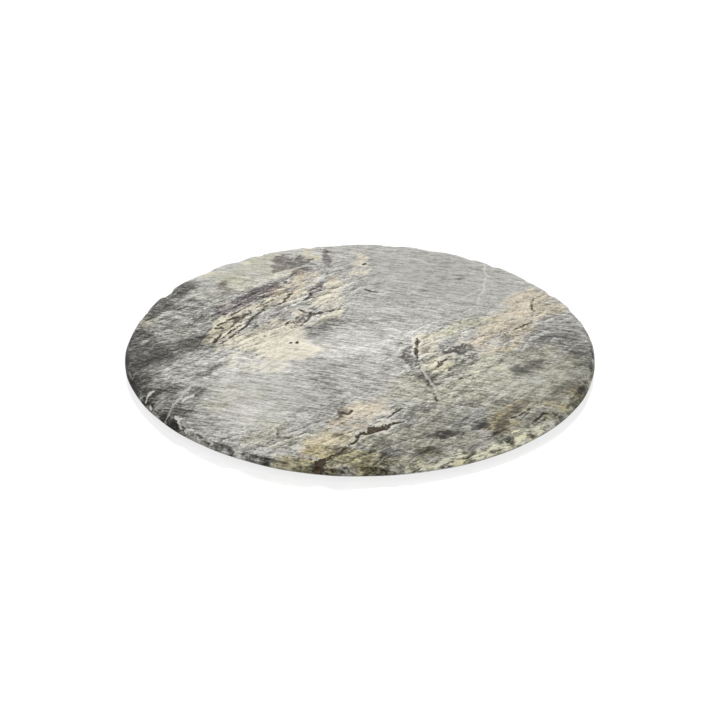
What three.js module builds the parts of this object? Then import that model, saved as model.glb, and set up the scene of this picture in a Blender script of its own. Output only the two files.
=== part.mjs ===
// Round serving board: a slab of split stone with a hewn rim, standing on four stick-on feet.
//
// Millimetres, +Z up. The origin is on the table under the middle of the board, and the front of the
// board faces -Y. Angles are in degrees, from +X towards +Y.

import * as THREE from "three";

// Slab: the widest line of the rim lies a little above the underside, and the rim leans in from there.
const BOARD_DIAMETER = 330;
const SLAB_THICKNESS = 7;
const WIDEST_LINE_HEIGHT = 1.5;
const UNDERSIDE_SETBACK = 1.25;
const TOP_EDGE_SETBACK = 2.5;
const RIM_ROUNDNESS = 1.5;
const RIM_STEPS = 4;
const RIM_SEGMENTS = 180;

// The outline is slightly oval and wavy. Even counts keep opposite sides alike, so it stays centred.
const OUTLINE_WAVES = [
  { cycles: 2, swing: 1.2, peak: 112 },
  { cycles: 6, swing: 0.3, peak: 20 },
  { cycles: 10, swing: 0.15, peak: 7 },
  { cycles: 26, swing: 0.1, peak: 2 },
];

// Stretches where the top edge has broken away: their middle, half width and depth.
const RIM_BREAKS = [
  { at: -50, half: 46, depth: 6.5 },
  { at: -99, half: 4, depth: 3 },
  { at: 36, half: 17, depth: 1.8 },
  { at: 58.5, half: 4, depth: 1.6 },
  { at: 70.5, half: 5, depth: 1.8 },
  { at: 80, half: 3, depth: 1.2 },
  { at: 98, half: 6, depth: 1.6 },
  { at: 125, half: 4, depth: 2.2 },
  { at: 138, half: 8, depth: 1.4 },
  { at: 152, half: 3, depth: 1 },
  { at: 164, half: 4, depth: 1 },
];

// Chips left by the dressing hammer, shifted round the rim from step to step.
const RIM_CHIPS = [
  { cycles: 34, swing: 0.45, peak: 3 },
  { cycles: 51, swing: 0.3, peak: 1 },
];
const CHIP_SHIFT = 4;

// Feet: rubber pads, each bonded by a disc of adhesive tape.
const FOOT_DIAMETER = 20;
const FOOT_HEIGHT = 2.5;
const FOOT_CHAMFER = 0.5;
const FOOT_INSET = 34;
const FOOT_SEGMENTS = 48;
const TAPE_THICKNESS = 0.5;
const TAPE_MARGIN = 1;
const FOOT_ANGLES = {
  front_right: -45,
  back_right: 45,
  back_left: 135,
  front_left: 225,
};

const UNDERSIDE_HEIGHT = FOOT_HEIGHT + TAPE_THICKNESS;
const FOOT_CIRCLE_RADIUS = BOARD_DIAMETER / 2 - FOOT_INSET;

const STONE = { color: 0x92908a, roughness: 0.6, metalness: 0 };
const RUBBER = { color: 0x2a2a2b, roughness: 0.85, metalness: 0 };
const TAPE = { color: 0xd8d5cb, roughness: 0.5, metalness: 0 };

function waveSum(waves, angle, shift = 0) {
  const swings = waves.map(({ cycles, swing, peak }) => {
    return swing * Math.cos(THREE.MathUtils.degToRad(cycles * (angle - peak - shift)));
  });
  return swings.reduce((sum, swing) => sum + swing, 0);
}

// How far the top edge has broken away at an angle: each break is a raised cosine.
function breakDepth(angle) {
  const depths = RIM_BREAKS.map(({ at, half, depth }) => {
    const away = Math.abs(THREE.MathUtils.euclideanModulo(angle - at + 180, 360) - 180);
    return away < half ? (depth / 2) * (1 + Math.cos((Math.PI * away) / half)) : 0;
  });
  return depths.reduce((sum, depth) => sum + depth, 0);
}

// The slab's section at an angle, from the middle of the underside round the rim to the middle of the top.
// The rim leans in by a power of its height, and its steps carry the chips.
function slabSection(angle) {
  const outline = BOARD_DIAMETER / 2 + waveSum(OUTLINE_WAVES, angle);
  const setback = TOP_EDGE_SETBACK + breakDepth(angle);
  const rim = [];
  for (let step = 0; step <= RIM_STEPS; step += 1) {
    const share = step / RIM_STEPS;
    const chip = Math.sin(Math.PI * share) * waveSum(RIM_CHIPS, angle, step * CHIP_SHIFT);
    const radius = outline - setback * share ** RIM_ROUNDNESS - Math.abs(chip);
    const height = WIDEST_LINE_HEIGHT + (SLAB_THICKNESS - WIDEST_LINE_HEIGHT) * share;
    rim.push(new THREE.Vector2(radius, height));
  }
  return [
    new THREE.Vector2(0, 0),
    new THREE.Vector2(outline - UNDERSIDE_SETBACK, 0),
    ...rim,
    new THREE.Vector2(0, SLAB_THICKNESS),
  ];
}

// A lathe of the section, with each turn of it moved to the section at its own angle.
function slabGeometry() {
  const sections = [];
  for (let turn = 0; turn < RIM_SEGMENTS; turn += 1) {
    sections.push(slabSection((360 * turn) / RIM_SEGMENTS - 90));
  }
  const geometry = new THREE.LatheGeometry(sections[0], RIM_SEGMENTS);
  const position = geometry.getAttribute("position");
  const rows = sections[0].length;
  for (let i = 0; i < position.count; i += 1) {
    const turn = Math.floor(i / rows) % RIM_SEGMENTS;
    const angle = (2 * Math.PI * turn) / RIM_SEGMENTS - Math.PI / 2;
    const point = sections[turn][i % rows];
    position.setXYZ(i, point.x * Math.cos(angle), point.x * Math.sin(angle), point.y);
  }
  geometry.computeVertexNormals();
  return geometry;
}

// A round pad with a chamfer round the face that it stands on.
function footGeometry() {
  const radius = FOOT_DIAMETER / 2;
  const section = [
    new THREE.Vector2(0, 0),
    new THREE.Vector2(radius - FOOT_CHAMFER, 0),
    new THREE.Vector2(radius, FOOT_CHAMFER),
    new THREE.Vector2(radius, FOOT_HEIGHT),
    new THREE.Vector2(0, FOOT_HEIGHT),
  ];
  return new THREE.LatheGeometry(section, FOOT_SEGMENTS).rotateX(Math.PI / 2);
}

function tapeGeometry() {
  const radius = FOOT_DIAMETER / 2 - TAPE_MARGIN;
  return new THREE.CylinderGeometry(radius, radius, TAPE_THICKNESS, FOOT_SEGMENTS).rotateX(Math.PI / 2);
}

function piece(name, geometry, finish, x, y, z) {
  const mesh = new THREE.Mesh(geometry, new THREE.MeshStandardMaterial(finish));
  mesh.name = name;
  mesh.position.set(x, y, z);
  return mesh;
}

const board = new THREE.Group();
board.name = "round_stone_serving_board";
board.add(piece("slab", slabGeometry(), STONE, 0, 0, UNDERSIDE_HEIGHT));
for (const [corner, degrees] of Object.entries(FOOT_ANGLES)) {
  const angle = THREE.MathUtils.degToRad(degrees);
  const x = FOOT_CIRCLE_RADIUS * Math.cos(angle);
  const y = FOOT_CIRCLE_RADIUS * Math.sin(angle);
  board.add(piece(`foot_${corner}`, footGeometry(), RUBBER, x, y, 0));
  board.add(piece(`tape_${corner}`, tapeGeometry(), TAPE, x, y, FOOT_HEIGHT + TAPE_THICKNESS / 2));
}

export default board;
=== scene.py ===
"""Round stone serving board on four stick-on feet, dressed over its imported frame.

Blender works in metres. The stone is laid out in millimetres, in the frame of the board: +X to the right,
+Y away from the front, angles in degrees from +X towards +Y.
"""

import math

import bpy
import numpy as np
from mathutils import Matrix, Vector


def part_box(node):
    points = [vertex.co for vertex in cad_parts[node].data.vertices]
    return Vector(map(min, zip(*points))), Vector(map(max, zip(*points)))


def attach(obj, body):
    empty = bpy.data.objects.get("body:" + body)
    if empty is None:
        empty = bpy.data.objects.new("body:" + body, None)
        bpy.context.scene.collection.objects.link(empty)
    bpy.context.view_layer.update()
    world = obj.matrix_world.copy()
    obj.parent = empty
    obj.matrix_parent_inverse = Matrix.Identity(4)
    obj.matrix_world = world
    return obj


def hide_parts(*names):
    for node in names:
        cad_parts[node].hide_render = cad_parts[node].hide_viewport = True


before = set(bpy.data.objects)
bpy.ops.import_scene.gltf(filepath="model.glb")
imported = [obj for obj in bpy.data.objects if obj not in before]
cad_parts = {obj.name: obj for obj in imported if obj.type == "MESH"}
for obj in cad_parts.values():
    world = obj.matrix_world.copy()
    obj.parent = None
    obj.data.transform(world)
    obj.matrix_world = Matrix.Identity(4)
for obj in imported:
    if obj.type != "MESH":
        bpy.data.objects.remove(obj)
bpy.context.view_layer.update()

MM = 0.001

# Slab, as it was hewn: the same values as the solid's
BOARD_RADIUS = 165
WIDEST_LINE_HEIGHT = 1.5
UNDERSIDE_SETBACK = 1.25
TOP_EDGE_SETBACK = 2.5
RIM_ROUNDNESS = 1.5
UNDERSIDE_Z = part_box("slab")[0][2] / MM
TOP_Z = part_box("slab")[1][2] / MM
OUTLINE_WAVES = [  # cycles, swing, peak
    (2, 1.2, 112),
    (6, 0.3, 20),
    (10, 0.15, 7),
    (26, 0.1, 2),
]
RIM_BREAKS = [  # middle, half width, depth
    (-50, 46, 6.5),
    (-99, 4, 3),
    (36, 17, 1.8),
    (58.5, 4, 1.6),
    (70.5, 5, 1.8),
    (80, 3, 1.2),
    (98, 6, 1.6),
    (125, 4, 2.2),
    (138, 8, 1.4),
    (152, 3, 1),
    (164, 4, 1),
]

# How finely the slab is drawn
TOP_CELLS = 288
RIM_ROWS = 10
UNDERSIDE_RINGS = 2

# Directions in the stone: its layers are folded along one and its leaves lie along another, it was split and
# brushed along a third, and its mottling and the splinters of its rim have their own
FOLD_TURN = 52
LEAF_TURN = 36
BRUSH_TURN = -16
MOTTLE_TURN = 15
SPLINTER_TURN = 30

# Relief of the split face
SWELL = 0.2
RUGGED_CLEFT = 0.7
SMOOTH_CLEFT = 0.16
PLATE_WIDTH = 11
PLATE_SHAKE = 0.9
FLAKE_STEP = 0.3

# Painted shade in the hollows of the relief and painted highlights where it stands out: the height that
# counts in full, and how many cells away the relief around is looked at
CAVITY_DEPTH = 0.22
CAVITY_REACH = 2

# Hewn rim: the wear and nibbles of its top edge, its scoops with painted shade in them and painted
# highlights on the ridges between them, and how far painted shade darkens it downwards, or painted light
# lightens it downwards where it is chipped
EDGE_ROUNDING = 0.6
NIBBLE_ROUNDING = 0.4
EDGE_ROUNDING_WIDTH = 5
EDGE_NIBBLE = 1.6
SCOOP_DEPTH = 1.6
SCOOP_SHARPNESS = 1.4
SCOOP_SETBACK = 4
SCOOP_LEAST = 0.4
SCOOP_STRETCH = 2.5
SCOOP_CREST_HIGHLIGHT = 0.7
SCOOP_HOLLOW_SHADE = -0.5
SCOOP_SHADE_FALL = 2
RIM_SHADE = 0.04
CHIP_GLOW = 0.12

# Pale chips along the rim: the angles over which they set in, thin out to half and end, the share of the way
# down over which they fade in, and how far they reach onto the top, which wanders
CHIPS_SET_IN = (-81, -79)
CHIPS_THIN_OUT = (-70, -60)
CHIPS_END = (-32, -50)
CHIPS_FADE_IN = (0, 0.35)
CHIPS_REACH = (0, -2.5)
CHIPS_WANDER = 3.5

# How noise shakes the marks out of place: swing and wavelength
BROAD_SHAKE = (6, 34)
FINE_SHAKE = (1.6, 7)
LINE_SHAKE = (1.4, 7)

# Points along a side of the noise's lattice, which then repeats
NOISE_LATTICE = 128

# Soft changes of tone, among them a painted sheen over the middle and a painted shadow below a cream
# ledge: x, y, half length, half width, turn, lightness
TONE_SHEEN_AND_SHADOW_MARKS = [
    # These three: a painted sheen over the middle, together with the stone's own paler tone there
    (-62, -8, 46, 28, 8, 0.1),
    (30, 12, 46, 16, 10, 0.09),
    (8, -12, 40, 16, -14, 0.05),
    (-72, -70, 40, 36, -20, 0.07),
    (-75, -104, 26, 16, -20, 0.06),
    (-20, 62, 26, 22, 40, 0.05),
    (105, 46, 26, 16, 50, 0.06),
    # A painted shadow below the cream ledge
    (-22, 30, 26, 9, 40, -0.13),
    (-31, 12, 8, 10, 0, -0.1),
    (-24, -54, 11, 32, 10, -0.07),
    (-20, -108, 22, 20, 30, -0.05),
    (-140, 40, 40, 60, 20, -0.11),
    (-160, -20, 30, 40, 0, -0.1),
    (-134, -84, 32, 52, 34, -0.19),
    (-82, -140, 30, 14, 20, 0.03),
    (-50, -150, 30, 14, 0, 0.01),
    (140, 4, 32, 36, 0, -0.1),
    (160, -20, 18, 36, 10, -0.12),
    (138, -76, 50, 26, 50, -0.06),
    (92, -108, 56, 26, 32, -0.06),
    (105, -46, 30, 24, 20, 0.05),
    (100, -130, 28, 16, 34, -0.02),
    (62, -105, 18, 9, 10, -0.05),
    (71, -128, 9, 7, 20, 0.06),
    (38, -150, 22, 5, 17, -0.06),
    (14, -105, 18, 16, 30, 0.07),
    (-18, -136, 18, 14, 40, 0.07),
    (-160, 14, 14, 20, 0, 0.06),
    (-104, 46, 24, 18, 50, 0.08),
    (-46, 46, 18, 16, 45, 0.07),
    (44, -128, 46, 32, 20, -0.06),
    (-86, 114, 42, 22, 42, 0.06),
    (4, -158, 34, 18, 0, -0.08),
    (64, 112, 12, 30, -20, -0.03),
    (-98, 92, 5, 9, 0, -0.03),
    (66, 104, 76, 54, -30, -0.02),
    (118, -38, 12, 9, 10, -0.1),
    (101, -27, 4, 6, 0, -0.08),
    (18, 49, 20, 5, -8, 0.05),
    (-58, -36, 36, 14, 0, 0.03),
    (-2, -8, 20, 9, 8, 0.07),
    (-36, -6, 7, 10, 0, 0.06),
    (-46, -76, 26, 18, 0, -0.05),
    (121, 50, 16, 14, 40, 0.06),
    (-81, 61, 11, 7, 50, -0.12),
    (-22, 76, 14, 24, 0, 0.08),
    (-68, 92, 11, 10, 45, 0.09),
    (-130, -26, 24, 8, 25, -0.11),
    (-121, -58, 10, 16, 20, 0.09),
    (64, 6, 9, 14, 0, 0.09),
    (33, -48, 9, 16, 0, 0.08),
]

# Stains with ragged edges: x, y, half length, half width, turn, strength
CHARCOAL_MARKS = [
    (-150, -14, 19, 36, 6, 0.95),
    (-112, 0, 11, 12, 20, 0.95),
    (-130, -16, 24, 10, 28, 0.9),
    (-148, 62, 20, 13, 56, 0.85),
    (-146, -76, 12, 38, 24, 0.75),
    (-118, 36, 24, 9, 34, 0.7),
    (-131, 86, 18, 6, 42, 0.75),
    (-126, 60, 16, 8, 40, 0.5),
    (-120, -106, 9, 12, 30, 0.7),
]
PLUM_MARKS = [
    (-84, 66, 34, 10, 52, 0.95),
    (-68, 88, 13, 9, 44, 0.8),
    (-56, 128, 8, 15, -24, 0.95),
    (-30, 136, 6, 16, -6, 0.9),
    (-48, 112, 13, 4, 60, 0.8),
    (-98, 90, 5, 8, 0, 0.5),
    (-36, 90, 5, 10, -24, 0.7),
    (74, -106, 11, 7, 24, 0.75),
    (55, -121, 12, 5, 24, 0.6),
    (48, -128, 8, 4, 10, 0.6),
]
CREAM_MARKS = [
    (-96, 22, 28, 8, 66, 0.95),
    (-84, 46, 22, 7, 54, 0.9),
    (-66, 4, 32, 21, 10, 0.95),
    (-50, -11, 24, 13, 0, 0.95),
    (-56, 26, 18, 11, 45, 0.8),
    (-60, -30, 34, 16, 0, 0.4),
    (-24, 41, 22, 5, 40, 0.95),
    (-22, 66, 17, 15, 30, 0.95),
    (-18, 90, 15, 10, 40, 0.85),
    (-60, 64, 9, 30, -34, 0.7),
    (-56, 104, 15, 9, 48, 0.65),
    (-45, 86, 5, 20, -36, 0.65),
    (3, 131, 8, 24, -10, 0.55),
    (-3, 114, 5, 12, -38, 0.8),
    (49, -16, 9, 24, 4, 0.85),
    (56, 8, 20, 9, 52, 0.4),
    (78, 30, 18, 9, 34, 0.3),
    (98, -34, 12, 8, 0, 0.6),
    (57, -32, 5, 11, -36, 0.7),
    (64, -18, 6, 3.5, 10, 0.9),
    (20, -104, 20, 8, 52, 0.6),
    (-41, 146, 7, 14, 8, 0.6),
    (-104, 116, 30, 8, 42, 0.4),
    (-146, 38, 12, 8, 30, 0.45),
]
TAN_MARKS = [
    (128, 62, 24, 20, -30, 0.85),
    (113, 42, 44, 24, 52, 0.8),
    (95, 8, 30, 20, 48, 0.65),
    (-22, -134, 18, 12, 50, 0.95),
    (-32, -150, 9, 9, 0, 0.8),
    (-84, 14, 16, 12, 60, 0.4),
    (3, 131, 8, 24, -10, 0.5),
    (-56, 84, 10, 34, -34, 0.7),
    (-44, 44, 18, 16, 45, 0.5),
    (-14, 102, 12, 14, -38, 0.45),
    (4, -104, 28, 18, 36, 0.7),
    (106, -96, 46, 10, 36, 0.7),
    (98, -114, 36, 5, 34, 0.4),
]
OLIVE_MARKS = [
    (-38, -160, 18, 9, -10, 0.9),
    (-10, -157, 32, 14, 2, 0.95),
    (-41, 147, 7, 11, 10, 0.35),
    (-148, 38, 14, 10, 30, 0.25),
    (-112, 106, 18, 6, 42, 0.2),
    (114, -98, 40, 18, 40, 0.45),
    (60, -148, 50, 12, 22, 0.4),
]
MOSS_MARKS = [
    (104, -52, 60, 46, 20, 0.85),
    (74, 26, 26, 14, 30, 0.7),
    (30, -140, 66, 28, 14, 0.85),
    (-80, -78, 36, 30, -20, 0.35),
    (-40, -132, 40, 20, 0, 0.5),
    (-120, 30, 40, 50, 20, 0.3),
    (-84, 112, 44, 20, 42, 0.6),
    (40, -80, 20, 30, 0, 0.5),
    (112, -100, 48, 22, 40, 0.9),
]
SPECKLE_MARKS = [
    (-50, 36, 7, 8, 0, 1),
    (-36, 46, 14, 4, 14, 1),
    (35, -18, 6, 20, 4, 1),
    (70, -9, 12, 9, 10, 1),
    (68, -25, 5, 4, 0, 0.9),
    (27, -93, 8, 6, 20, 1),
    (-14, -146, 9, 6, 30, 1),
    (-26, -159, 5, 9, -20, 1),
    (-90, 37, 6, 5, 40, 1),
    (-74, 40, 6, 16, -34, 0.8),
    (-57, 94, 6, 4, 40, 0.9),
    (-13, 108, 5, 3, 20, 0.9),
    (-50, 132, 10, 14, -25, 0.7),
    (130, 3, 7, 4, 0, 0.7),
    (124, 22, 9, 9, 0, 0.5),
    (138, 54, 9, 7, -40, 0.6),
    (8, -150, 16, 9, 0, 0.6),
    (86, -112, 36, 9, 34, 0.7),
    (-10, -97, 5, 6, 20, 0.9),
]
SMUDGE_MARKS = [
    (130, -74, 20, 7, 38, 0.8),
    (120, -103, 9, 5, 30, 0.9),
    (134, -98, 8, 4, 40, 0.8),
    (84, -122, 12, 4, 45, 0.95),
    (94, -110, 10, 3.5, 45, 0.8),
    (104, -97, 13, 4, 32, 0.9),
    (103, -133, 6, 3, 30, 1),
    (43, -146, 10, 3.5, 15, 0.8),
    (58, -137, 10, 3, 20, 0.7),
    (20, -150, 5, 15, 0, 0.9),
    (35, -104, 3, 15, -10, 0.7),
    (43, -92, 8, 6, 20, 0.7),
    (76, -106, 8, 7, 20, 0.8),
    (57, -121, 10, 4, 25, 0.7),
    (118, -37, 11, 9, 10, 1),
    (125, -32, 6, 5, 0, 0.9),
    (101, -27, 3, 5, 0, 0.8),
    (156, -30, 7, 14, 0, 0.3),
    (140, 2, 20, 9, 10, 0.6),
    (132, 4, 6, 5, 0, 0.8),
    (70, -9, 11, 9, 10, 0.9),
    (78, -20, 4, 4, 0, 0.8),
    (48, -50, 4, 11, 22, 0.9),
    (53, -65, 6, 4, -20, 1),
    (64, -23, 5, 3, 40, 0.8),
    (3, -150, 8, 5, 30, 0.8),
    (48, 75, 5, 2, -12, 0.7),
    (36, 62, 4, 2, -12, 0.6),
    (73, 108, 4, 1.5, -12, 0.4),
    (63, 95, 3, 1.5, -12, 0.4),
    (-85, -138, 13, 7, 20, 0.55),
    (-62, -150, 9, 6, 20, 0.5),
    (-95, -30, 8, 4, 25, 0.7),
    (-108, -68, 9, 6, 20, 0.8),
    (-128, -66, 9, 6, 0, 0.8),
    (-104, -46, 15, 3.5, 62, 0.7),
    (-116, -100, 9, 12, 30, 0.9),
    (-8, -97, 5, 6, 30, 0.8),
    (-15, -127, 7, 5, 20, 0.85),
    (29, -107, 5, 5, 20, 0.7),
]
STAINS = {
    "smudge": SMUDGE_MARKS,
    "charcoal": CHARCOAL_MARKS,
    "plum": PLUM_MARKS,
    "cream": CREAM_MARKS,
    "tan": TAN_MARKS,
    "olive": OLIVE_MARKS,
    "moss": MOSS_MARKS,
    "speckle": SPECKLE_MARKS,
}
STAIN_LIGHTNESS = {
    "smudge": -0.23,
    "charcoal": -0.25,
    "plum": -0.25,
    "cream": 0.145,
    "tan": 0.1,
    "olive": -0.05,
    "moss": -0.02,
    "speckle": 0,
}
STONE_LIGHTNESS = 0.715

# Cover at the middle of a stain's edge, and the softness of that edge, which two stains have crisper
STAIN_EDGE = 0.55
STAIN_SOFTNESS = 0.4
CRISP_STAINS = {"charcoal": 0.2, "plum": 0.2}

# Stretches of the stone that are rough instead of smooth: x, y, half length, half width, turn, strength
RUGGED_MARKS = [
    (-130, 30, 60, 80, 20, 0.7),
    (-58, 64, 74, 32, 52, 0.95),
    (-30, 60, 50, 24, 45, 0.8),
    (110, -40, 70, 70, 20, 0.3),
    (112, 40, 50, 30, 52, 0.7),
    (60, -20, 30, 50, 0, 0.8),
    (40, -130, 100, 50, 14, 0.55),
    (-20, -130, 40, 40, 40, 0.6),
    (-136, -80, 30, 50, 34, 0.5),
    (-70, -140, 50, 20, 10, 0.5),
]

# Stretches where the brushing is faint, listed in the same way
CALM_MARKS = [
    (62, 102, 90, 56, -30, 0.9),
    (-94, 112, 44, 20, 42, 0.8),
    (-138, -12, 24, 26, 0, 0.7),
    (130, -60, 40, 30, 60, 0.6),
    (88, -130, 48, 16, 28, 0.5),
    (-72, -78, 46, 34, -20, 0.45),
    (62, -116, 52, 30, 20, 0.35),
]

# The edge of an oval mark fades over this share of its size, inwards and outwards
MARK_FADE = 0.6

# Cracks, slits and pits, and a groove with a painted shadow beside a ledge: half width, depth, points along
# the line
CRACKS = [
    (0.5, 0.5, [(-97, -3), (-88, 12), (-80, 28), (-76, 40), (-70, 51)]),
    (0.8, 0.6, [(-102, -1), (-98, 12)]),
    (0.8, 0.4, [(-102, 24), (-96, 31)]),
    (0.5, 0.3, [(-96, 8), (-90, 18), (-84, 28)]),
    (0.5, 0.3, [(-92, 22), (-84, 40), (-77, 50)]),
    (0.7, 0.3, [(-94, 40), (-84, 52)]),
    (1.1, 0.6, [(-95, 33), (-86, 38)]),
    (0.6, 0.4, [(-52, 24), (-50, 33)]),
    (0.6, 0.4, [(-42, 26), (-39, 33), (-34, 43)]),
    (0.7, 0.4, [(-46, 52), (-40, 47), (-32, 45), (-25, 47), (-18, 50), (-12, 53)]),
    (0.9, 0.4, [(-41, 66), (-36, 78)]),
    (0.6, 0.3, [(-49, -1), (-47, -1)]),
    (1.2, 0.3, [(-44, -1), (-42, -1)]),
    (1.2, 0.5, [(2, 126), (4, 128)]),
    (0.7, 0.4, [(3, 84), (10, 79), (13, 78)]),
    (0.6, 0.5, [(41, 5), (38.5, -12), (40, -26)]),
    # A shallow groove with a painted shadow beside the ledge's painted highlight
    (-0.5, 0.4, [(39, -20), (42, -42), (46, -58), (49, -70), (51, -83)]),
    (0.6, 0.3, [(52, -38), (60, -24)]),
    (0.6, 0.3, [(55, -36), (53, -28)]),
    (0.4, 0.5, [(-8, -139), (0, -128), (4, -122)]),
    (2.4, 0.9, [(0, -125), (8, -120), (19, -115)]),
    (1.2, 0.6, [(4, -118), (12, -115), (16, -113)]),
    (0.8, 0.8, [(14, -116), (20, -112), (28, -108)]),
    (0.6, 0.4, [(19, -106), (22, -98), (26, -94)]),
    (1.0, 0.4, [(-11, -97), (-8, -99), (-6, -95)]),
    (2.0, 1.0, [(-33, -170), (-29, -164), (-26, -158), (-19, -153)]),
    (1.8, 1.0, [(-29, -168), (-25, -160), (-21, -158)]),
    (0.5, 0.4, [(-22, -154), (-15, -148), (-10, -142), (-7, -138)]),
    (0.1, 0.2, [(128, 72), (125, 58), (126, 48), (124, 30)]),
    (0, 0.2, [(124, 30), (112, 22), (102, 12)]),
    (0.8, 0.3, [(-57, 93), (-54, 97)]),
    (0.8, 0.3, [(-104, 19), (-98, 20)]),
    (0.7, 0.3, [(-60, 58), (-54, 70), (-50, 80)]),
    (0.8, 0.4, [(82, -128), (92, -118)]),
    (0, 0.4, [(98, -104), (112, -92)]),
    (0.2, 0.4, [(112, -106), (122, -98)]),
]

# Pale veins, and painted highlights along the edges of a ledge and of a wedge: half width, points along the
# line
VEINS = [
    (0.7, [(95, 133), (96, 106), (93, 88), (87, 64), (84, 47)]),
    (0.6, [(93, 87), (86, 79), (78, 70), (71, 66)]),
    (0.35, [(117, 86), (110, 78)]),
    (1.4, [(9, 77), (15, 75), (22, 80)]),
    (1.5, [(2, 51), (13, 52), (22, 50), (31, 43)]),
    (0.7, [(-110, -52), (-119, -76), (-123, -92), (-127, -112)]),
    (1.2, [(26, -62), (30, -66)]),
    (0.5, [(-15, -42), (-15, -54)]),
    # Painted highlight along the edge of the ledge
    (0.9, [(42, -24), (44, -42), (48, -57), (51, -71), (54, -84)]),
    (0.5, [(-140, 20), (-122, 10)]),
    (0.5, [(-146, -4), (-128, 6)]),
    (0.4, [(-54, 132), (-47, 144)]),
    # Painted highlight along the upper edge of the wedge
    (0.6, [(-2, -120), (8, -114.5), (19, -110), (27, -104)]),
]

# Painted glints on the near left, and white flecks, listed as the veins
GLINTS_AND_FLECKS = [
    # Painted glints on the near left
    (1.0, [(-136, -69), (-140, -74), (-141, -80)]),
    (0.9, [(-138, -84), (-136, -89)]),
    (1.2, [(-110, -73), (-115, -79), (-117, -86)]),
    (1.2, [(-108, -89), (-103, -87)]),
    (1.0, [(-104, -80), (-99, -78)]),
    (1.0, [(-119, -102), (-116, -106), (-117, -110), (-113, -114)]),
    (1.1, [(-112, -116), (-107, -120)]),
    (0.9, [(-126, -104), (-128, -113)]),
    # White flecks
    (1.2, [(61, -19), (68, -16)]),
    (0.7, [(56, -38), (62, -26)]),
    (0.5, [(24, -84), (34, -88)]),
    (0.5, [(20, -60), (34, -66)]),
]

# A gap this wide counts as no line near, and over these gaps a crack's wall goes down
FAR_GAP = 9.0
CRACK_WALL = (1.2, -0.6)

# The underside is plain split stone: the marks that it has all over, while every other one is 0
UNDERSIDE_MARKS = {
    "light": 0.62,
    "rugged": 0.3,
    "calm": 0.4,
    "crack_gap": FAR_GAP,
    "vein_gap": FAR_GAP,
    "glint_and_fleck_gap": FAR_GAP,
}

# Colours of the stone as they look on screen: three greys from dark to pale, and its small marks, among
# them painted glints and the painted shade in cracks
STONE_COLOURS = {
    "dark": (46, 44, 41),
    "middle": (127, 125.5, 120),
    "pale": (248, 246, 238),
    "pit": (90, 78, 62),
    "freckle": (74, 70, 62),
    "vein": (204, 202, 193),
    "glint_and_fleck": (222, 220, 212),
    # Painted shade in the cracks, and the dust that lightens them in places
    "crack_shade_and_dust": (50, 37, 22),
    "hollow_dust": (98, 82, 58),
}

# Tints that the stains lay over the grey
STAIN_TINTS = {
    "plum": (252, 245, 250),
    "tan": (255, 243, 225),
    "cream": (255, 250, 236),
    "olive": (251, 244, 212),
}
MOSS_TINT = (252, 252, 236)
CHIP_TINT = (255, 254, 242)

# How the stone's lightness turns into the three greys and into its sheen, and the height of its bumps
DARK_TO_MIDDLE = (0.22, 0.55)
MIDDLE_TO_PALE = (0.55, 1.15)
SHEEN = (0.4, 0.9, 0.66, 0.46)
STONE_BUMP = 1.6

# Dark and pale colours of the rubber and of the tape
RUBBER_COLOURS = ((34, 34, 35), (54, 53, 53))
TAPE_COLOURS = ((206, 202, 190), (228, 225, 215))

# Feet and tape: what the frame doesn't give. Places under a foot are shares of its radius.
FOOT_CORNERS = ("front_left", "front_right", "back_left", "back_right")
FOOT_CHAMFER = 0.5
FOOT_TURNS = 96
FOOT_DISH = 0.25
FOOT_LIP = 0.15
GRIP_RINGS = ((0.34, 0.42), (0.66, 0.74))
GRIP_SLOPE = 0.04
STANDING_EDGE = 0.9
TAPE_SQUEEZE = 0.12

# Floor: its half size in metres, and the shares of light that it scatters, gives and mirrors to the eye
FLOOR_HALF = 6.0
FLOOR_MATT = 0.2
FLOOR_GLOW = 0.95
FLOOR_MIRROR = 0.2
FLOOR_BLUR = 0.03

# Studio: name, place, size and power of each lamp, in metres and watts, and the light of the surround
LAMPS = [
    ("overhead_softbox", (-0.5, 0.1, 1.7), 1.2, 7.5),
    ("back_softbox", (0.2, 1.5, 1.4), 0.7, 17.5),
]
SURROUND_LIGHT = 0.52

# Photograph: a square picture, with the camera in front of the board and above it
LENS = 85
SENSOR = 36
CAMERA_ELEVATION = 28.7
CAMERA_DISTANCE = 1.184
CAMERA_AIM = (0, -0.0145, 0.003)


def linear(*display):
    """A colour written as it looks on screen, 0 to 255, in linear light with full alpha."""
    shares = [c / 255 for c in display]
    lights = [s / 12.92 if s <= 0.04045 else ((s + 0.055) / 1.055) ** 2.4 for s in shares]
    return (*lights, 1)


def smooth_step(low, high, value):
    """0 below low, 1 above high and a cubic between; low may be the larger one."""
    share = np.clip((value - low) / (high - low), 0, 1)
    return share * share * (3 - 2 * share)


def value_noise(x, y, wavelength, seed):
    """Random heights from -1 to 1 on a square lattice, joined by cubics in x and y."""
    lattice = np.random.default_rng(seed).uniform(-1, 1, (NOISE_LATTICE, NOISE_LATTICE))
    u = x / wavelength + NOISE_LATTICE / 2
    v = y / wavelength + NOISE_LATTICE / 2
    i = np.floor(u).astype(int)
    j = np.floor(v).astype(int)
    s = smooth_step(0, 1, u - i)
    t = smooth_step(0, 1, v - j)
    left = i % NOISE_LATTICE
    right = (i + 1) % NOISE_LATTICE
    near = j % NOISE_LATTICE
    far = (j + 1) % NOISE_LATTICE
    low = lattice[near, left] * (1 - s) + lattice[near, right] * s
    high = lattice[far, left] * (1 - s) + lattice[far, right] * s
    return low * (1 - t) + high * t


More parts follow.
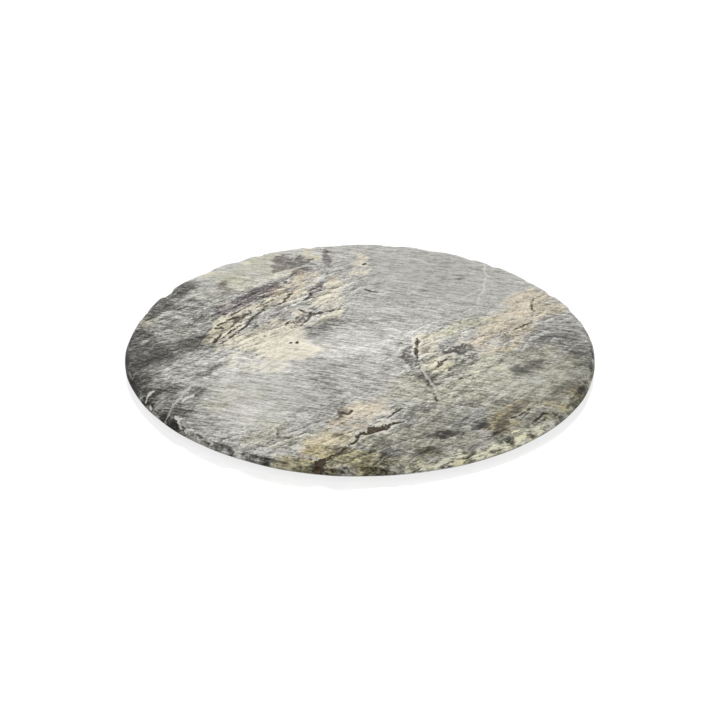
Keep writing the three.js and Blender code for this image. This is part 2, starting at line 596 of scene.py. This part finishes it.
def rough_noise(x, y, wavelength, seed, octaves=4):
    """Value noise with half the wavelength and half the height added at each octave."""
    layers = [value_noise(x, y, wavelength / 2**k, seed + k) / 2**k for k in range(octaves)]
    return sum(layers)


def streaks(x, y, turn, stretch, wavelength, seed, octaves=4):
    """Rough noise drawn out along a direction."""
    c = math.cos(math.radians(turn))
    s = math.sin(math.radians(turn))
    return rough_noise((x * c + y * s) / stretch, y * c - x * s, wavelength, seed, octaves)


def shaken(x, y, shakes, seeds_x, seeds_y):
    """Points moved by rough noise. Each shake has a swing and a wavelength, and a seed for each axis."""
    moved_x = x
    moved_y = y
    for (swing, wavelength), seed_x, seed_y in zip(shakes, seeds_x, seeds_y):
        moved_x = moved_x + swing * rough_noise(x, y, wavelength, seed_x)
        moved_y = moved_y + swing * rough_noise(x, y, wavelength, seed_y)
    return moved_x, moved_y


def spread(x, y, marks):
    """How strongly each oval mark covers each point, fading at its edge."""
    for x0, y0, half_length, half_width, turn, strength in marks:
        c = math.cos(math.radians(turn))
        s = math.sin(math.radians(turn))
        along = ((x - x0) * c + (y - y0) * s) / half_length
        across = ((y - y0) * c - (x - x0) * s) / half_width
        yield strength * smooth_step(1 + MARK_FADE, 1 - MARK_FADE, np.hypot(along, across))


def covered(x, y, marks):
    """How strongly a set of marks covers each point, where they lie over each other."""
    bare = np.ones_like(x)
    for cover in spread(x, y, marks):
        bare *= 1 - cover
    return 1 - bare


def blurred(field, reach):
    """Mean over a square of cells round each cell, with the border repeated."""
    width = 2 * reach + 1
    rows = np.pad(field, ((reach, reach), (0, 0)), mode="edge")
    field = np.lib.stride_tricks.sliding_window_view(rows, width, 0).mean(axis=-1)
    columns = np.pad(field, ((0, 0), (reach, reach)), mode="edge")
    return np.lib.stride_tricks.sliding_window_view(columns, width, 1).mean(axis=-1)


def gap_to_line(x, y, half_width, points):
    """Distance to the edge of a slit along a line. The slit tapers from its half width to both ends."""
    lengths = [math.dist(a, b) for a, b in zip(points, points[1:])]
    starts = np.cumsum([0, *lengths])
    gap = np.full_like(x, np.inf)
    for (x0, y0), (x1, y1), length, start in zip(points, points[1:], lengths, starts):
        t = np.clip(((x - x0) * (x1 - x0) + (y - y0) * (y1 - y0)) / length**2, 0, 1)
        share = (start + t * length) / starts[-1]
        taper = half_width * np.sqrt(np.clip(4 * share * (1 - share), 0, 1))
        gap = np.minimum(gap, np.hypot(x - x0 - t * (x1 - x0), y - y0 - t * (y1 - y0)) - taper)
    return gap


def outline_radius(angle):
    """The widest line's distance from the middle: a circle with a few waves round it."""
    waves = [swing * np.cos(np.radians(cycles * (angle - peak))) for cycles, swing, peak in OUTLINE_WAVES]
    return BOARD_RADIUS + sum(waves)


def break_depth(angle):
    """How far the top edge has broken away: a raised cosine for each break."""
    total = np.zeros_like(angle)
    for middle, half, depth in RIM_BREAKS:
        away = np.abs((angle - middle + 180) % 360 - 180)
        total += np.where(away < half, depth / 2 * (1 + np.cos(np.pi * np.minimum(away / half, 1))), 0)
    return total


def stone_marks(x, y):
    """Tone, stains and lines over the stone.

    The places are shaken by noise, and streaks along the folds and the brushing are added to each stain
    before it is cut to an edge, so that the ovals break up as stains in layered stone do. Some of the tone is
    a painted sheen and a painted shadow, and some of the lines are painted highlights, a painted shadow and
    painted glints.
    """
    wx, wy = shaken(x, y, (BROAD_SHAKE, FINE_SHAKE), (11, 31), (21, 41))
    folds = streaks(x, y, FOLD_TURN, stretch=4, wavelength=8, seed=101, octaves=5)
    blots = rough_noise(x, y, wavelength=11, seed=111, octaves=5)
    brushes = streaks(x, y, BRUSH_TURN, stretch=6, wavelength=5, seed=121)
    ragged = 0.24 * folds + 0.16 * blots + 0.14 * brushes
    marks = {}
    light = STONE_LIGHTNESS + sum(spread(wx, wy, TONE_SHEEN_AND_SHADOW_MARKS))
    for name, ovals in STAINS.items():
        cover = covered(wx, wy, ovals)
        soft = CRISP_STAINS.get(name, STAIN_SOFTNESS)
        broken = cover + ragged * np.minimum(1, 4 * cover)
        marks[name] = smooth_step(STAIN_EDGE - soft, STAIN_EDGE + soft, broken)
        light += STAIN_LIGHTNESS[name] * marks[name]
    marks["light"] = light
    marks["rugged"] = covered(wx, wy, RUGGED_MARKS)
    marks["calm"] = covered(wx, wy, CALM_MARKS)

    nx, ny = shaken(x, y, (LINE_SHAKE,), (51,), (61,))
    marks["crack_gap"] = np.full_like(x, FAR_GAP)
    marks["crack_depth"] = np.zeros_like(x)
    for half_width, depth, points in CRACKS:
        gap = gap_to_line(nx, ny, half_width, points)
        marks["crack_gap"] = np.minimum(marks["crack_gap"], gap)
        marks["crack_depth"] = np.maximum(marks["crack_depth"], depth * smooth_step(*CRACK_WALL, gap))
    for name, lines in (("vein_gap", VEINS), ("glint_and_fleck_gap", GLINTS_AND_FLECKS)):
        marks[name] = np.full_like(x, FAR_GAP)
        for half_width, points in lines:
            marks[name] = np.minimum(marks[name], gap_to_line(nx, ny, half_width, points))
    return marks


def cleft_plates(x, y):
    """Plates of the stone: a sawtooth across its leaves, shaken by streaks along them."""
    turn = math.radians(LEAF_TURN)
    across = (y * math.cos(turn) - x * math.sin(turn)) / PLATE_WIDTH
    across = across + PLATE_SHAKE * streaks(x, y, LEAF_TURN, stretch=3, wavelength=24, seed=151)
    return across - np.floor(across)


def top_relief(x, y, marks):
    """Depth of the split face below its highest level.

    Swells run all over it. Rough stretches have cleft plates with ridges along the folds, and smooth ones
    brushed lines. Flakes have come off around the cream stains, and cracks cut in.
    """
    swell = 0.5 + 0.25 * rough_noise(x, y, wavelength=55, seed=71, octaves=3)
    folds = streaks(x, y, FOLD_TURN, stretch=3, wavelength=9, seed=81, octaves=5)
    ridges = 0.2 + 0.15 * folds + 0.6 * (1 - cleft_plates(x, y))
    lines = 0.5 + 0.3 * streaks(x, y, BRUSH_TURN, stretch=7, wavelength=5, seed=86, octaves=3)
    cleft = marks["rugged"] * RUGGED_CLEFT * ridges + (1 - marks["rugged"]) * SMOOTH_CLEFT * lines
    return SWELL * swell + cleft + FLAKE_STEP * (1 - marks["cream"]) + marks["crack_depth"]


def disc_grid(cells):
    """A square grid bent into a unit disc: x = u sqrt(1 - v v / 2) and y = v sqrt(1 - u u / 2)."""
    side = np.linspace(-1, 1, cells + 1)
    u, v = np.meshgrid(side, side)
    return u * np.sqrt(1 - v * v / 2), v * np.sqrt(1 - u * u / 2)


def grid_border(cells):
    """Indices of the square grid's border, once round, anticlockwise from above."""
    n = cells + 1
    index = np.arange(n * n).reshape(n, n)
    return np.concatenate([index[0, :-1], index[:-1, -1], index[-1, :0:-1], index[:0:-1, 0]])


def ring_faces(rings):
    """Faces between each ring of points and the next one, for rings given as rows of indices."""
    after = np.roll(rings, -1, axis=1)
    return np.stack([rings[:-1], rings[1:], after[1:], after[:-1]], axis=-1).reshape(-1, 4)


def polar(radius, turn, z):
    """Points from their distance from the middle, their turn about it in radians and their height."""
    return np.stack([radius * np.cos(turn), radius * np.sin(turn), z], axis=-1).reshape(-1, 3)


def top_edge(angle):
    """The top edge's distance from the middle, and how much of that noise has nibbled away."""
    turn = np.radians(angle)
    x = BOARD_RADIUS * np.cos(turn)
    y = BOARD_RADIUS * np.sin(turn)
    nibble = EDGE_NIBBLE * np.clip(rough_noise(x, y, wavelength=13, seed=131, octaves=3), 0, 1)
    return outline_radius(angle) - TOP_EDGE_SETBACK - break_depth(angle) - nibble, nibble


def slab_top():
    """The split face: a grid bent to the top edge, lowered by its relief and by a parabola towards the edge.

    Gives its points, their angles, the top edge at each angle, how far each point stands out of the relief
    around it, and how far the chips of the rim reach it.
    """
    unit_x, unit_y = disc_grid(TOP_CELLS)
    angle = np.degrees(np.arctan2(unit_y, unit_x))
    edge, nibble = top_edge(angle)
    x = unit_x * edge
    y = unit_y * edge
    inwards = edge * (1 - np.hypot(unit_x, unit_y))
    relief = top_relief(x, y, stone_marks(x, y))
    wear = np.clip(1 - inwards / EDGE_ROUNDING_WIDTH, 0, 1) ** 2
    z = TOP_Z - relief - (EDGE_ROUNDING + NIBBLE_ROUNDING * nibble) * wear
    # Painted shade in the hollows of the relief and painted highlights where it stands out
    relief_shading = np.clip((blurred(relief, CAVITY_REACH) - relief) / CAVITY_DEPTH, -1, 1)
    wander = CHIPS_WANDER * rough_noise(x, y, wavelength=9, seed=141)
    chipped = smooth_step(*CHIPS_REACH, inwards + wander)
    points = np.stack([x, y, z], axis=-1).reshape(-1, 3)
    return points, angle.reshape(-1), edge.reshape(-1), relief_shading.reshape(-1), chipped.reshape(-1)


def slab_rim(angle, edge, edge_z):
    """Rows of points down the rim, with the share of the way down and the size of the scoop at each.

    The rim leans out from the top edge to the widest line by a power of its height. Scoops, as large as a
    noise round the rim, are bitten out of it, deepest half-way down and where the top edge lies far back.
    """
    outline = outline_radius(angle)
    setback = outline - edge
    share = 1 - np.arange(1, RIM_ROWS + 1)[:, None] / RIM_ROWS
    widest_z = UNDERSIDE_Z + WIDEST_LINE_HEIGHT
    z = widest_z + (edge_z - widest_z) * share
    arc = np.radians(angle) * BOARD_RADIUS + 0 * share
    scoops = np.abs(rough_noise(arc, SCOOP_STRETCH * z, wavelength=14, seed=91, octaves=3))
    depth = SCOOP_DEPTH * np.sin(np.pi * share) * np.clip(setback / SCOOP_SETBACK, SCOOP_LEAST, 1)
    bite = depth * np.minimum(SCOOP_SHARPNESS * scoops, 1)
    points = polar(outline - setback * share**RIM_ROUNDNESS - bite, np.radians(angle), z)
    return points, np.repeat(1 - share[:, 0], len(angle)), scoops.reshape(-1)


def slab_underside(angle):
    """Rings under the slab from its lower edge inwards, and the pole in their middle."""
    share = np.linspace(1, 0, UNDERSIDE_RINGS, endpoint=False)[:, None]
    radius = (outline_radius(angle) - UNDERSIDE_SETBACK) * share
    rings = polar(radius, np.radians(angle), np.full_like(radius, UNDERSIDE_Z))
    return np.concatenate([rings, [[0, 0, UNDERSIDE_Z]]])


def slab_faces(border, pole):
    """Squares of the top's grid and between the rows below it, and triangles at the pole."""
    n = TOP_CELLS + 1
    index = np.arange(n * n).reshape(n, n)
    corners = [index[:-1, :-1], index[:-1, 1:], index[1:, 1:], index[1:, :-1]]
    squares = np.stack(corners, axis=-1).reshape(-1, 4)
    rows = n * n + np.arange((RIM_ROWS + UNDERSIDE_RINGS) * len(border)).reshape(-1, len(border))
    sides = ring_faces(np.concatenate([border[None], rows]))
    last = rows[-1]
    middle = np.stack([last, np.full_like(last, pole), np.roll(last, -1)], axis=-1)
    return [*squares.tolist(), *sides.tolist(), *middle.tolist()]


def slab_surface():
    """The slab's points, faces and marks: its top, then the rows of its rim, then its underside.

    Painted shade darkens the rim in its scoops, and painted highlights lighten the ridges between them.
    Painted shade darkens it downwards, but for one stretch with pale chips, which painted light lightens
    downwards instead.
    """
    top, angle, edge, relief_shading, chipped = slab_top()
    border = grid_border(TOP_CELLS)
    rim, down, scoops = slab_rim(angle[border], edge[border], top[border, 2])
    under = slab_underside(angle[border])
    points = np.concatenate([top, rim, under])
    faces = slab_faces(border, len(points) - 1)

    none_on_top = np.zeros(len(top))
    none_under = np.zeros(len(under))
    all_rim = np.ones(len(rim))
    marks = stone_marks(points[:, 0], points[:, 1])
    # Painted shade in the rim's scoops and painted highlights on the ridges between them
    scoop_shading = np.clip(SCOOP_CREST_HIGHLIGHT - SCOOP_SHADE_FALL * scoops, SCOOP_HOLLOW_SHADE, SCOOP_CREST_HIGHLIGHT)
    marks["relief_shading"] = np.concatenate([relief_shading, scoop_shading, none_under])
    marks["rim"] = np.concatenate([none_on_top, all_rim, none_under])
    around = np.degrees(np.arctan2(points[:, 1], points[:, 0]))
    pale = smooth_step(*CHIPS_SET_IN, around) * (1 - 0.5 * smooth_step(*CHIPS_THIN_OUT, around))
    pale = pale * smooth_step(*CHIPS_END, around)
    marks["chip"] = pale * np.concatenate([chipped, smooth_step(*CHIPS_FADE_IN, down), none_under])
    # Painted shade darkens the rim downwards; on the pale chips painted light lightens it downwards instead
    shade = RIM_SHADE * (1 - marks["chip"]) - CHIP_GLOW * marks["chip"]
    marks["light"] -= shade * np.concatenate([none_on_top, down, none_under])
    for name in marks:
        marks[name][len(top) + len(rim):] = UNDERSIDE_MARKS.get(name, 0)
    return points, faces, marks


def new_piece(name, points, faces, attributes=()):
    """A smooth mesh object at the origin, from points in millimetres, with values stored at its points."""
    mesh = bpy.data.meshes.new(name)
    mesh.from_pydata((np.asarray(points) * MM).tolist(), [], faces)
    mesh.polygons.foreach_set("use_smooth", np.ones(len(mesh.polygons), dtype=bool))
    for key in attributes:
        layer = mesh.attributes.new(key, "FLOAT", "POINT")
        layer.data.foreach_set("value", np.asarray(attributes[key], dtype=np.float32).reshape(-1))
    mesh.update()
    piece = bpy.data.objects.new(name, mesh)
    bpy.context.scene.collection.objects.link(piece)
    return piece


class Wire:
    """A node's output. Arithmetic on it adds Math nodes."""

    def __init__(self, nodes, socket):
        self.nodes = nodes
        self.socket = socket

    def math(self, operation, *operands):
        return self.nodes.node("ShaderNodeMath", {"operation": operation}, dict(enumerate(operands)))

    def __add__(self, other):
        return self.math("ADD", self, other)

    __radd__ = __add__

    def __sub__(self, other):
        return self.math("SUBTRACT", self, other)

    def __rsub__(self, other):
        return self.math("SUBTRACT", other, self)

    def __mul__(self, other):
        return self.math("MULTIPLY", self, other)

    __rmul__ = __mul__

    def swing(self):
        """How far a noise lies above or below its middle level."""
        return self - 0.5

    def away(self):
        """How far a noise lies from its middle level, either way."""
        return self.math("ABSOLUTE", self.swing())


class NodeTree:
    """A node tree, with the one way in which nodes are added to it."""

    def __init__(self, tree):
        self.tree = tree

    def node(self, kind, settings, sockets, output=0):
        """Adds a node of that type, sets its settings and then its sockets, and gives one of its outputs."""
        made = self.tree.nodes.new(kind)
        for key, value in settings.items():
            setattr(made, key, value)
        for key, value in sockets.items():
            if isinstance(value, Wire):
                self.link(value, made.inputs[key])
            else:
                made.inputs[key].default_value = value
        return Wire(self, made.outputs[output])

    def link(self, wire, socket):
        self.tree.links.new(wire.socket, socket)

    def seen(self):
        """1 for rays from the eye, also after a mirror or something clear, and 0 for other light."""
        rays = ("Is Camera Ray", "Is Glossy Ray", "Is Transmission Ray")
        camera, glossy, through = (self.node("ShaderNodeLightPath", {}, {}, ray) for ray in rays)
        return camera.math("MAXIMUM", camera.math("MAXIMUM", camera, glossy), through)


class Finish(NodeTree):
    """A material with a Principled shader, and the nodes that feed it."""

    def __init__(self, name, **constants):
        self.material = bpy.data.materials.new(name)
        self.material.use_nodes = True
        super().__init__(self.material.node_tree)
        self.shader = self.tree.nodes["Principled BSDF"]
        for key, value in constants.items():
            self.shader.inputs[key.replace("_", " ")].default_value = value

    def feed(self, socket, wire):
        self.link(wire, self.shader.inputs[socket])

    def attribute(self, name):
        return self.node("ShaderNodeAttribute", {"attribute_name": name}, {}, "Fac")

    def noise(self, turn, cells, detail=4.0, roughness=0.55, distortion=0.0):
        """Noise in cells of that many millimetres along a direction, across it and upwards."""
        spot = self.node("ShaderNodeTexCoord", {}, {}, "Object")
        scale = [size * MM for size in cells]
        grain = {"Vector": spot, "Rotation": (0, 0, math.radians(turn)), "Scale": scale}
        place = self.node("ShaderNodeMapping", {"vector_type": "TEXTURE"}, grain)
        look = {"Scale": 1.0, "Detail": detail, "Roughness": roughness, "Distortion": distortion}
        return self.node("ShaderNodeTexNoise", {}, {"Vector": place, **look}, "Fac")

    def step(self, value, low, high, start=0.0, end=1.0):
        """A smooth step from start at low to end at high."""
        settings = {"interpolation_type": "SMOOTHSTEP"}
        sockets = {"Value": value, "From Min": low, "From Max": high, "To Min": start, "To Max": end}
        return self.node("ShaderNodeMapRange", settings, sockets)

    def ramp(self, value, low, high):
        """A straight rise from 0 at low to 1 at high."""
        return self.node("ShaderNodeMapRange", {}, {"Value": value, "From Min": low, "From Max": high})

    def blend(self, share, under, over):
        """A colour between two others."""
        settings = {"data_type": "RGBA"}
        return self.node("ShaderNodeMix", settings, {0: share, 6: under, 7: over}, 2)

    def tinted(self, share, colour, tint):
        """A colour seen through a share of a tint."""
        settings = {"data_type": "RGBA", "blend_type": "MULTIPLY"}
        return self.node("ShaderNodeMix", settings, {0: share, 6: colour, 7: tint}, 2)

    def bump(self, height, distance):
        """A normal from heights, where 1 stands for that many millimetres."""
        return self.node("ShaderNodeBump", {}, {"Height": height, "Distance": distance * MM, "Strength": 1.0})


def stone_finish():
    """Split stone: grey by tone and relief, tinted by stains, cut by veins and cracks, with a satin sheen.

    Brushed lines run all over it, fainter where it is calm or cream. The relief darkens it with painted shade
    in its hollows and lightens it with painted highlights where it stands out. Rough stretches add broken
    bands, ridges, painted shade along the seam lines and painted highlights on the crest lines. The rim shows
    the layers of the stone, and splinters where it is pale. Cracks are dark with painted shade, and dust.
    """
    stone = Finish("split_stone", Specular_IOR_Level=0.18)
    tone = {name: linear(*colour) for name, colour in STONE_COLOURS.items()}
    rugged = stone.attribute("rugged")
    calm = stone.attribute("calm")
    cream = stone.attribute("cream")
    relief_shading = stone.attribute("relief_shading")
    rim = stone.attribute("rim")
    mottle = stone.noise(MOTTLE_TURN, (12, 9, 9), detail=9, roughness=0.72)
    grain = stone.noise(BRUSH_TURN, (26, 3.2, 3.2), detail=7, roughness=0.68, distortion=0.3)
    fine = stone.noise(BRUSH_TURN, (7, 1.7, 1.7), detail=5, roughness=0.66)
    hairs = stone.noise(BRUSH_TURN, (9, 0.9, 0.9), detail=2, roughness=0.6)
    strokes = stone.noise(BRUSH_TURN, (34, 6, 6), detail=3, roughness=0.55, distortion=0.3)
    bands = stone.noise(FOLD_TURN, (22, 5, 5), detail=7, roughness=0.66, distortion=0.4)
    ridges = stone.noise(FOLD_TURN, (16, 5, 5), detail=6, roughness=0.62, distortion=0.7)
    folds = stone.noise(FOLD_TURN, (30, 8, 8), detail=3, roughness=0.5, distortion=0.8)
    crumb = stone.noise(FOLD_TURN, (5, 3, 3), detail=6, roughness=0.72)
    grit = stone.noise(FOLD_TURN, (2.4, 1.8, 1.8), detail=3, roughness=0.75)
    leaves = stone.noise(LEAF_TURN, (16, 5, 5), detail=6, roughness=0.6, distortion=0.8)
    flakes = stone.noise(SPLINTER_TURN, (8, 2, 2), detail=3, roughness=0.55, distortion=0.6)
    layers = stone.noise(0, (18, 18, 1.1), detail=5, roughness=0.62, distortion=0.5)

    # Painted shade along seam lines of the folds and painted highlights on crest lines of the leaves
    shaded_seams = rugged * stone.step(folds.away(), 0.03, 0.004) * stone.step(mottle, 0.44, 0.6)
    highlit_crests = rugged * stone.step(leaves.away(), 0.045, 0.006) * stone.step(crumb, 0.42, 0.58)
    scratches = (1 - rugged) * stone.step(strokes.away(), 0.02, 0.002) * stone.step(mottle, 0.44, 0.6)
    brushed = 0.55 * grain.swing() + 0.8 * fine.swing() + 0.6 * grit.swing() + hairs.swing()
    plates = stone.step(bands, 0.47, 0.53).swing()
    broken = 0.5 * bands.swing() + 0.7 * mottle.swing() + 0.7 * ridges.swing() + 0.1 * plates
    broken = broken + 0.35 * crumb.swing() + 0.5 * grit.swing()
    chip = stone.step(stone.attribute("chip") + 1.2 * crumb.swing(), 0.25, 0.6)
    splinters = 0.66 * stone.step(flakes, 0.44, 0.56) + 0.03 + 0.2 * relief_shading + 0.5 * grit.swing()
    # Painted shade and highlights of the relief
    light = stone.attribute("light") + 0.3 * relief_shading
    light = light + (1 - 0.58 * calm) * (1 - 0.5 * cream) * brushed
    light = light + (1 - 0.5 * calm) * (0.2 + (0.8 + 0.35 * cream) * rugged) * broken
    light = light + 0.8 * rim * layers.swing() + chip * splinters
    light = light + 0.1 * scratches + 0.34 * highlit_crests - 0.3 * shaded_seams

    colour = stone.blend(stone.ramp(light, *DARK_TO_MIDDLE), tone["dark"], tone["middle"])
    colour = stone.blend(stone.ramp(light, *MIDDLE_TO_PALE), colour, tone["pale"])
    edge = 0.45 * crumb.swing() + 0.25 * fine.swing()
    for name, tint in STAIN_TINTS.items():
        colour = stone.tinted(stone.step(stone.attribute(name) + edge, 0.0, 1.1), colour, linear(*tint))
    colour = stone.tinted(stone.attribute("moss"), colour, linear(*MOSS_TINT))
    colour = stone.tinted(chip, colour, linear(*CHIP_TINT))

    pitted = relief_shading + 4 * crumb.swing() + 2 * grit.swing()
    pits = stone.step(pitted, -0.1, -0.7) * cream * rugged
    colour = stone.blend(0.85 * pits, colour, tone["pit"])
    freckles = stone.step(stone.attribute("speckle") + 2.6 * crumb.swing(), 0.75, 1.05)
    colour = stone.blend(0.85 * freckles, colour, tone["freckle"])
    vein = stone.step(stone.attribute("vein_gap") + 3 * crumb.swing(), 0.7, -0.5)
    colour = stone.blend(0.75 * vein, colour, tone["vein"])
    glint_and_fleck = stone.step(stone.attribute("glint_and_fleck_gap") + 2 * crumb.swing(), 0.4, -0.3)
    colour = stone.blend(0.85 * glint_and_fleck, colour, tone["glint_and_fleck"])
    # Cracks: dark with painted shade, lightened by dust in places
    gap = stone.attribute("crack_gap") + 9 * crumb.swing() + 5 * grit.swing()
    crack = stone.step(gap, 0.6, -0.4) * stone.step(mottle, 0.3, 0.46)
    crack_shade_and_dust = stone.blend(stone.step(crumb, 0.4, 0.64), tone["crack_shade_and_dust"], tone["hollow_dust"])
    colour = stone.blend(0.95 * crack, colour, crack_shade_and_dust)
    stone.feed("Base Color", colour)

    stone.feed("Roughness", stone.step(light, *SHEEN))
    height = 0.4 * grain + 0.2 * fine + (0.9 * ridges + 0.3 * mottle + 0.15 * crumb) * rugged
    height = height + 0.5 * rim * layers + 0.2 * highlit_crests - 0.4 * crack - 0.2 * shaded_seams
    stone.feed("Normal", stone.bump(height, STONE_BUMP))
    return stone.material


def rubber_finish():
    """Black rubber: faint mottling, moulded grain and a dusty bloom."""
    rubber = Finish("foot_rubber", Specular_IOR_Level=0.35)
    bloom = rubber.noise(0, (4, 4, 4))
    grain = rubber.noise(0, (0.35, 0.35, 0.35), detail=2)
    dark, pale = (linear(*colour) for colour in RUBBER_COLOURS)
    rubber.feed("Base Color", rubber.blend(rubber.step(bloom, 0.35, 0.7), dark, pale))
    rubber.feed("Roughness", rubber.step(bloom, 0.3, 0.7, 0.78, 0.92))
    rubber.feed("Normal", rubber.bump(grain, 0.06))
    return rubber.material


def tape_finish():
    """Foam tape: off-white with fine cells."""
    tape = Finish("foam_tape", Specular_IOR_Level=0.4)
    cells = tape.noise(0, (0.5, 0.5, 0.5), detail=3)
    dark, pale = (linear(*colour) for colour in TAPE_COLOURS)
    tape.feed("Base Color", tape.blend(tape.step(cells, 0.35, 0.65), dark, pale))
    tape.feed("Roughness", tape.step(cells, 0.3, 0.7, 0.45, 0.65))
    tape.feed("Normal", tape.bump(cells, 0.05))
    return tape.material


def turned(name, x, y, section):
    """A section of (radius, height) turned about an upright axis at x, y, from its first pole to its last."""
    radius, height = np.array(section[1:-1]).T
    turn = np.linspace(0, 2 * np.pi, FOOT_TURNS, endpoint=False)
    px = x + radius[:, None] * np.cos(turn)
    py = y + radius[:, None] * np.sin(turn)
    pz = height[:, None] + 0 * turn
    rows = np.stack([px, py, pz], axis=-1).reshape(-1, 3)
    points = np.concatenate([[[x, y, section[0][1]]], rows, [[x, y, section[-1][1]]]])
    rings = 1 + np.arange(len(rows)).reshape(len(radius), FOOT_TURNS)[::-1]
    last = len(points) - 1
    high = np.stack([np.full(FOOT_TURNS, last), rings[0], np.roll(rings[0], -1)], axis=-1)
    low = np.stack([rings[-1], np.zeros(FOOT_TURNS, dtype=int), np.roll(rings[-1], -1)], axis=-1)
    return new_piece(name, points, [*high.tolist(), *ring_faces(rings).tolist(), *low.tolist()])


def foot_section(radius, low, high):
    """A pad with a dish and two grip rings under it, a rounded lower edge and a narrow slope on top."""
    dish = low + FOOT_DISH
    grip = []
    for inner, outer in GRIP_RINGS:
        grip += [(inner - GRIP_SLOPE, dish), (inner, low), (outer, low), (outer + GRIP_SLOPE, dish)]
    grip += [(STANDING_EDGE - GRIP_SLOPE, dish), (STANDING_EDGE, low)]
    under = [(share * radius, z) for share, z in grip]
    corner = np.radians(np.linspace(-90, 0, 6))
    side = radius + FOOT_CHAMFER * (np.cos(corner) - 1)
    rise = low + FOOT_CHAMFER * (np.sin(corner) + 1)
    top = [(radius, high - FOOT_LIP), (radius - FOOT_LIP, high), (0, high)]
    return [(0, dish), *under, *zip(side, rise), *top]


def tape_section(radius, low, high):
    """A thin disc whose edge is squeezed out a little at half height."""
    inner = radius - TAPE_SQUEEZE
    return [(0, low), (inner, low), (radius, (low + high) / 2), (inner, high), (0, high)]


def node_round(node):
    """Middle, radius, lowest and highest level of a round upright node, in millimetres."""
    low, high = (np.array(corner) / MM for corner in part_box(node))
    x, y, _ = (low + high) / 2
    return x, y, (high[0] - low[0]) / 2, low[2], high[2]


def dress_slab():
    """The stone, in place of its plain solid."""
    points, faces, marks = slab_surface()
    piece = new_piece("stone_slab", points, faces, marks)
    piece.data.materials.append(stone_finish())
    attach(piece, "root")
    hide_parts("slab")


def dress_feet():
    """A rubber pad and a disc of tape at each corner, in place of their plain solids."""
    parts = (
        ("foot", "rubber_pad", foot_section, rubber_finish(), "foot_rubber"),
        ("tape", "tape_disc", tape_section, tape_finish(), "adhesive"),
    )
    for corner in FOOT_CORNERS:
        for prefix, name, section, finish, slot in parts:
            node = f"{prefix}_{corner}"
            x, y, radius, low, high = node_round(node)
            piece = turned(f"{name}_{corner}", x, y, section(radius, low, high))
            piece.data.materials.append(finish)
            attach(piece, "root")
            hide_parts(node)


def lay_floor():
    """A wide white floor, lit from within, with a light shadow and a faint mirror image of the rim.

    It shows to rays from the eye alone. The light of the surround passes through it, so that the underside of
    the board is lit too.
    """
    corners = [(-1, -1, 0), (1, -1, 0), (1, 1, 0), (-1, 1, 0)]
    floor = new_piece("floor", FLOOR_HALF * np.array(corners) / MM, [[0, 1, 2, 3]])
    white = Finish("white_floor")
    matt = white.node("ShaderNodeBsdfDiffuse", {}, {"Color": (FLOOR_MATT, FLOOR_MATT, FLOOR_MATT, 1)})
    glow = white.node("ShaderNodeEmission", {}, {"Strength": FLOOR_GLOW})
    backlit = white.node("ShaderNodeAddShader", {}, {0: matt, 1: glow})
    mirror = white.node("ShaderNodeBsdfGlossy", {}, {"Roughness": FLOOR_BLUR})
    sheet = white.node("ShaderNodeMixShader", {}, {0: FLOOR_MIRROR, 1: backlit, 2: mirror})
    clear = white.node("ShaderNodeBsdfTransparent", {}, {})
    above = white.node("ShaderNodeMixShader", {}, {0: white.seen(), 1: clear, 2: sheet})
    below = white.node("ShaderNodeNewGeometry", {}, {}, "Backfacing")
    shown = white.node("ShaderNodeMixShader", {}, {0: below, 1: above, 2: clear})
    white.link(shown, white.tree.nodes["Material Output"].inputs["Surface"])
    floor.data.materials.append(white.material)


def add_lamp(name, place, size, power):
    """A round softbox that faces the middle of the board."""
    data = bpy.data.lights.new(name, "AREA")
    data.shape = "DISK"
    data.size = size
    data.energy = power
    lamp = bpy.data.objects.new(name, data)
    lamp.location = place
    lamp.rotation_euler = (-Vector(place)).to_track_quat("-Z", "Y").to_euler()
    bpy.context.scene.collection.objects.link(lamp)


def light_studio():
    """Soft light from overhead and behind, and a surround that the eye sees as white."""
    for lamp in LAMPS:
        add_lamp(*lamp)
    world = bpy.data.worlds.new("white_surround")
    world.use_nodes = True
    surround = NodeTree(world.node_tree)
    background = world.node_tree.nodes["Background"]
    background.inputs["Color"].default_value = (1, 1, 1, 1)
    strength = SURROUND_LIGHT + (1 - SURROUND_LIGHT) * surround.seen()
    surround.link(strength, background.inputs["Strength"])
    bpy.context.scene.world = world


def set_camera():
    """The camera in front of the board, looking down at the photograph's angle."""
    data = bpy.data.cameras.new("camera")
    data.lens = LENS
    data.sensor_width = SENSOR
    camera = bpy.data.objects.new("camera", data)
    rise = math.radians(CAMERA_ELEVATION)
    back = Vector((0, -math.cos(rise), math.sin(rise)))
    camera.location = Vector(CAMERA_AIM) + CAMERA_DISTANCE * back
    camera.rotation_euler = (math.pi / 2 - rise, 0, 0)
    bpy.context.scene.collection.objects.link(camera)
    bpy.context.scene.camera = camera


set_camera()
dress_slab()
dress_feet()
lay_floor()
light_studio()
bpy.context.scene.view_settings.view_transform = "Standard"
